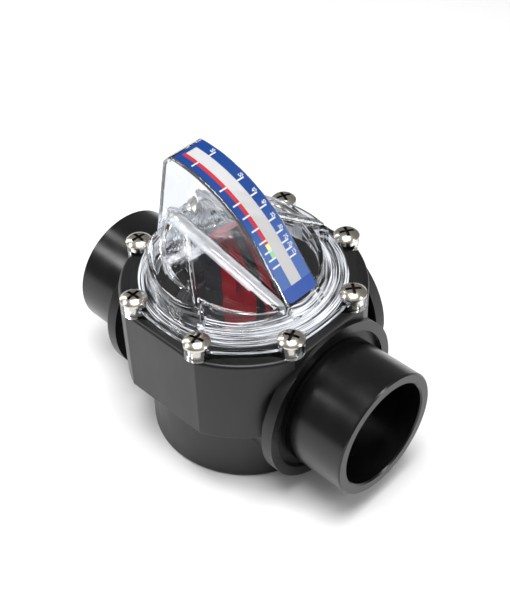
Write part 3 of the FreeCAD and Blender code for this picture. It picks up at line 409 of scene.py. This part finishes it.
def printedFilmWithGlare():
    # run is the way along the strip from the crest: along the arc first, then down the straight front.
    # The lower end's corners beyond their rounding are clear, and the window in the middle partly so.
    finish = Finish("printedFilmWithGlare")
    x, y, z = finish.axes()
    centreX, centreZ = labelLook["arcCentre"]
    angle = finish.add("Math", {"operation": "ARCTAN2"}, {0: x - centreX, 1: z - centreZ})
    bend = labelLook["arcAngle"]
    straight = (x - centreX - labelLook["arcRadius"] * math.sin(bend)) / math.cos(bend)
    past = straight > 0
    run = angle * labelLook["arcRadius"] * (1 - past) + (straight + labelLook["arcRadius"] * bend) * past
    window = (abs(y) < labelLook["windowSide"]) * between(run, labelLook["windowRun"])
    line = between(y, labelLook["lineSide"]) * between(run, labelLook["lineRun"])
    warm = finish.blend(run > labelLook["greenFrom"], labelLook["yellow"], labelLook["green"])
    warm = finish.blend(run > labelLook["yellowFrom"], labelLook["red"], warm)
    # Painted reflection: the printed blue turns paler past the middle of the run, as the film's glare.
    glareFade = run.math("MULTIPLY", run - labelLook["glareFrom"], 1 / labelLook["glareOver"], clamp=True)
    blue = finish.blend(glareFade, labelLook["blue"], labelLook["glareBlue"])
    blue = finish.blend(run > labelLook["capFrom"], blue, labelLook["capBlue"])
    nearest = abs(run - labelLook["marks"][0])
    for mark in labelLook["marks"][1:]:
        nearest = nearest.math("MINIMUM", nearest, abs(run - mark))
    left, right = labelLook["markSides"]
    strips = between(y, left) + between(y, right)
    onMark = (nearest < labelLook["markWidth"] / 2) * strips
    colour = finish.blend(line, blue, warm)
    colour = finish.blend(window.math("MAXIMUM", window, onMark), colour, labelLook["white"])
    inset = labelLook["cornerRound"]
    beyondSide = abs(y) - (labelLook["halfWidth"] - inset)
    beyondEnd = run - (labelLook["end"] - inset)
    corner = (finish.length(beyondSide, beyondEnd) > inset) * (beyondSide > 0) * (beyondEnd > 0)
    seen = (1 - window * (1 - labelLook["windowAlpha"])) * (1 - corner)
    finish.shade(Base_Color=colour, Roughness=labelLook["roughness"], Alpha=seen)
    return finish


dress("body", blackPlastic())
dress("lid", clearPlastic())
steel = stainless()
dress("lid_screws", screwSteel())
for name in ("hinge_pin", "pin_clips", "seal_retainer", "retainer_screw"):
    dress(name, steel)
springWire = springSteel()
for name in ("left_spring", "right_spring"):
    dress(name, springWire)
rubber = blackRubber()
for name in ("lid_o_ring", "flapper_seal"):
    dress(name, rubber)
dress("flapper", redPlastic())
dress("scale_label", printedFilmWithGlare())
print("CAD nodes dressed")


numberLook = {
    "texts": ("60", "50", "45", "40", "35", "30", "25", "20", "15"),
    "size": 0.0030,
    "middle": 0.0078,
    "before": 0.0017,
    "lift": 0.00006,
    "resolution": 2,
    "colour": rgb(0.72, 0.73, 0.76),
    "speckColour": rgb(0.8, 0.8, 0.82),
    "speckScale": 1500.0,
    "roughness": 0.4,
    "spread": 0.1,
}


def flatNumber(text):
    # The text's filled outline as points (u to the right, v up) and faces.
    curve = bpy.data.curves.new("number", "FONT")
    curve.body = text
    curve.size = numberLook["size"]
    curve.align_x = "CENTER"
    curve.align_y = "CENTER"
    curve.resolution_u = numberLook["resolution"]
    holder = bpy.data.objects.new("number", curve)
    mesh = bpy.data.meshes.new_from_object(holder)
    flat = np.empty(len(mesh.vertices) * 3, dtype=np.float32)
    mesh.vertices.foreach_get("co", flat)
    faces = [tuple(face.vertices) for face in mesh.polygons]
    bpy.data.objects.remove(holder)
    bpy.data.meshes.remove(mesh)
    return flat.reshape(-1, 3)[:, :2], faces


def onLabel(run, side):
    # A point run metres down the label: round the arc up to its end, then straight on along its tangent.
    (centreX, centreZ), radius = labelLook["arcCentre"], labelLook["arcRadius"] + numberLook["lift"]
    angle = np.minimum(run / labelLook["arcRadius"], labelLook["arcAngle"])
    past = run - angle * labelLook["arcRadius"]
    x = centreX + radius * np.sin(angle) + past * np.cos(angle)
    z = centreZ + radius * np.cos(angle) - past * np.sin(angle)
    return np.stack([x, side, z], -1)


def makeNumbers():
    # Each number stands before its mark, with its top towards the crest, and all are one mesh.
    points, faces, count = [], [], 0
    for text, mark in zip(numberLook["texts"], labelLook["marks"]):
        flat, shapes = flatNumber(text)
        run, side = mark - numberLook["before"] - flat[:, 1], numberLook["middle"] + flat[:, 0]
        points.append(onLabel(run, side))
        faces += [tuple(corner + count for corner in shape) for shape in shapes]
        count += len(flat)
    mesh = bpy.data.meshes.new("scale_numbers")
    mesh.from_pydata(np.concatenate(points).tolist(), [], faces)
    numbers = addObject("scale_numbers", mesh)
    finish = Finish("whiteInk")
    speckle = finish.noise(numberLook["speckScale"], detail=2.0, rough=0.6)
    ink = finish.blend(speckle, numberLook["colour"], numberLook["speckColour"])
    finish.shade(Base_Color=ink, Roughness=varied(numberLook, speckle))
    mesh.materials.append(finish.material)
    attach(numbers, "housing")


room = {
    "floorSize": 3.0,
    "floorColour": rgb(0.9, 0.9, 0.9),
    "floorLight": rgb(0.93, 0.93, 0.93),
    "floorRoughness": 0.7,
    "cloudScale": 2.0,
    "worldColour": rgb(1.0, 1.0, 1.0),
    "worldStrength": 0.25,
}


def gridMesh(name, points):
    # points is an array (rows, columns, 3). Neighbouring points are joined into quads.
    rows, columns = points.shape[:2]
    u, v = np.meshgrid(np.arange(rows - 1), np.arange(columns - 1), indexing="ij")
    corner = u * columns + v
    faces = np.stack([corner, corner + columns, corner + columns + 1, corner + 1], -1)
    mesh = bpy.data.meshes.new(name)
    mesh.from_pydata(points.reshape(-1, 3).tolist(), [], faces.reshape(-1, 4).tolist())
    return mesh


def addObject(name, mesh):
    piece = bpy.data.objects.new(name, mesh)
    bpy.context.scene.collection.objects.link(piece)
    return piece


def makeFloor():
    # A flat square at height 0.
    half = room["floorSize"] / 2
    side = np.linspace(-half, half, 3)
    x, y = np.meshgrid(side, side, indexing="ij")
    floor = addObject("floor", gridMesh("floor", np.stack([x, y, np.zeros_like(x)], -1)))
    finish = Finish("paleFloor")
    cloud = finish.noise(room["cloudScale"], detail=2.0, rough=0.5)
    colour = finish.blend(cloud, room["floorColour"], room["floorLight"])
    finish.shade(Base_Color=colour, Roughness=room["floorRoughness"])
    floor.data.materials.append(finish.material)


# Places and sizes (width, height) are in metres, power is in watts.
lamps = {
    "topSoftbox": {"place": (0.15, -0.1, 1.1), "target": (0, 0, 0.08), "size": (0.6, 0.6), "power": 13},
    "frontLeftBox": {"place": (-0.66, -0.62, 0.78), "target": (0, 0, 0.06), "size": (0.3, 0.3), "power": 3},
    "leftStrip": {"place": (-0.9, -0.1, 0.5), "target": (0, 0, 0.08), "size": (0.12, 0.9), "power": 3},
    "rightStrip": {"place": (0.9, 0.4, 0.4), "target": (0, 0, 0.06), "size": (0.12, 0.9), "power": 4},
}


def areaLight(name, place, target, size, power):
    light = bpy.data.lights.new(name, "AREA")
    light.shape = "RECTANGLE"
    light.size, light.size_y = size
    light.energy = power
    lamp = bpy.data.objects.new(name, light)
    bpy.context.scene.collection.objects.link(lamp)
    way = Vector(place) - Vector(target)
    turn = way.to_track_quat("Z", "Y").to_matrix().to_4x4()
    lamp.matrix_world = Matrix.Translation(Vector(place)) @ turn


def makeLights():
    world = bpy.data.worlds.new("studio")
    bpy.context.scene.world = world
    world.use_nodes = True
    shade = world.node_tree.nodes["Background"]
    shade.inputs["Color"].default_value = room["worldColour"]
    shade.inputs["Strength"].default_value = room["worldStrength"]
    for name, lamp in lamps.items():
        areaLight(name, **lamp)


cameraLook = {
    "azimuth": math.radians(45.37),
    "elevation": math.radians(42.29),
    "roll": math.radians(-1.91),
    "distance": 0.6481,
    "target": (-0.0074, 0.0154, 0.06805),
    "lens": 68.77,
    "clipStart": 0.01,
}


def makeCamera():
    # Azimuth turns from the front (-Y) towards +X, and roll turns the picture about the line of sight.
    azimuth, elevation, roll = (cameraLook[key] for key in ("azimuth", "elevation", "roll"))
    back = Vector((math.sin(azimuth) * math.cos(elevation), -math.cos(azimuth) * math.cos(elevation),
                   math.sin(elevation)))
    level = Vector((math.cos(azimuth), math.sin(azimuth), 0))
    upright = back.cross(level)
    right = level * math.cos(roll) + upright * math.sin(roll)
    up = upright * math.cos(roll) - level * math.sin(roll)
    place = Vector(cameraLook["target"]) + back * cameraLook["distance"]
    turn = Matrix((right, up, back)).transposed().to_4x4()
    camera = bpy.data.objects.new("camera", bpy.data.cameras.new("camera"))
    camera.data.lens = cameraLook["lens"]
    camera.data.clip_start = cameraLook["clipStart"]
    camera.matrix_world = Matrix.Translation(place) @ turn
    bpy.context.scene.collection.objects.link(camera)
    bpy.context.scene.camera = camera


bpy.context.scene.view_settings.view_transform = "Standard"
makeNumbers()
print("scale numbers made")
makeFloor()
makeLights()
makeCamera()
print("floor, lights and camera set")
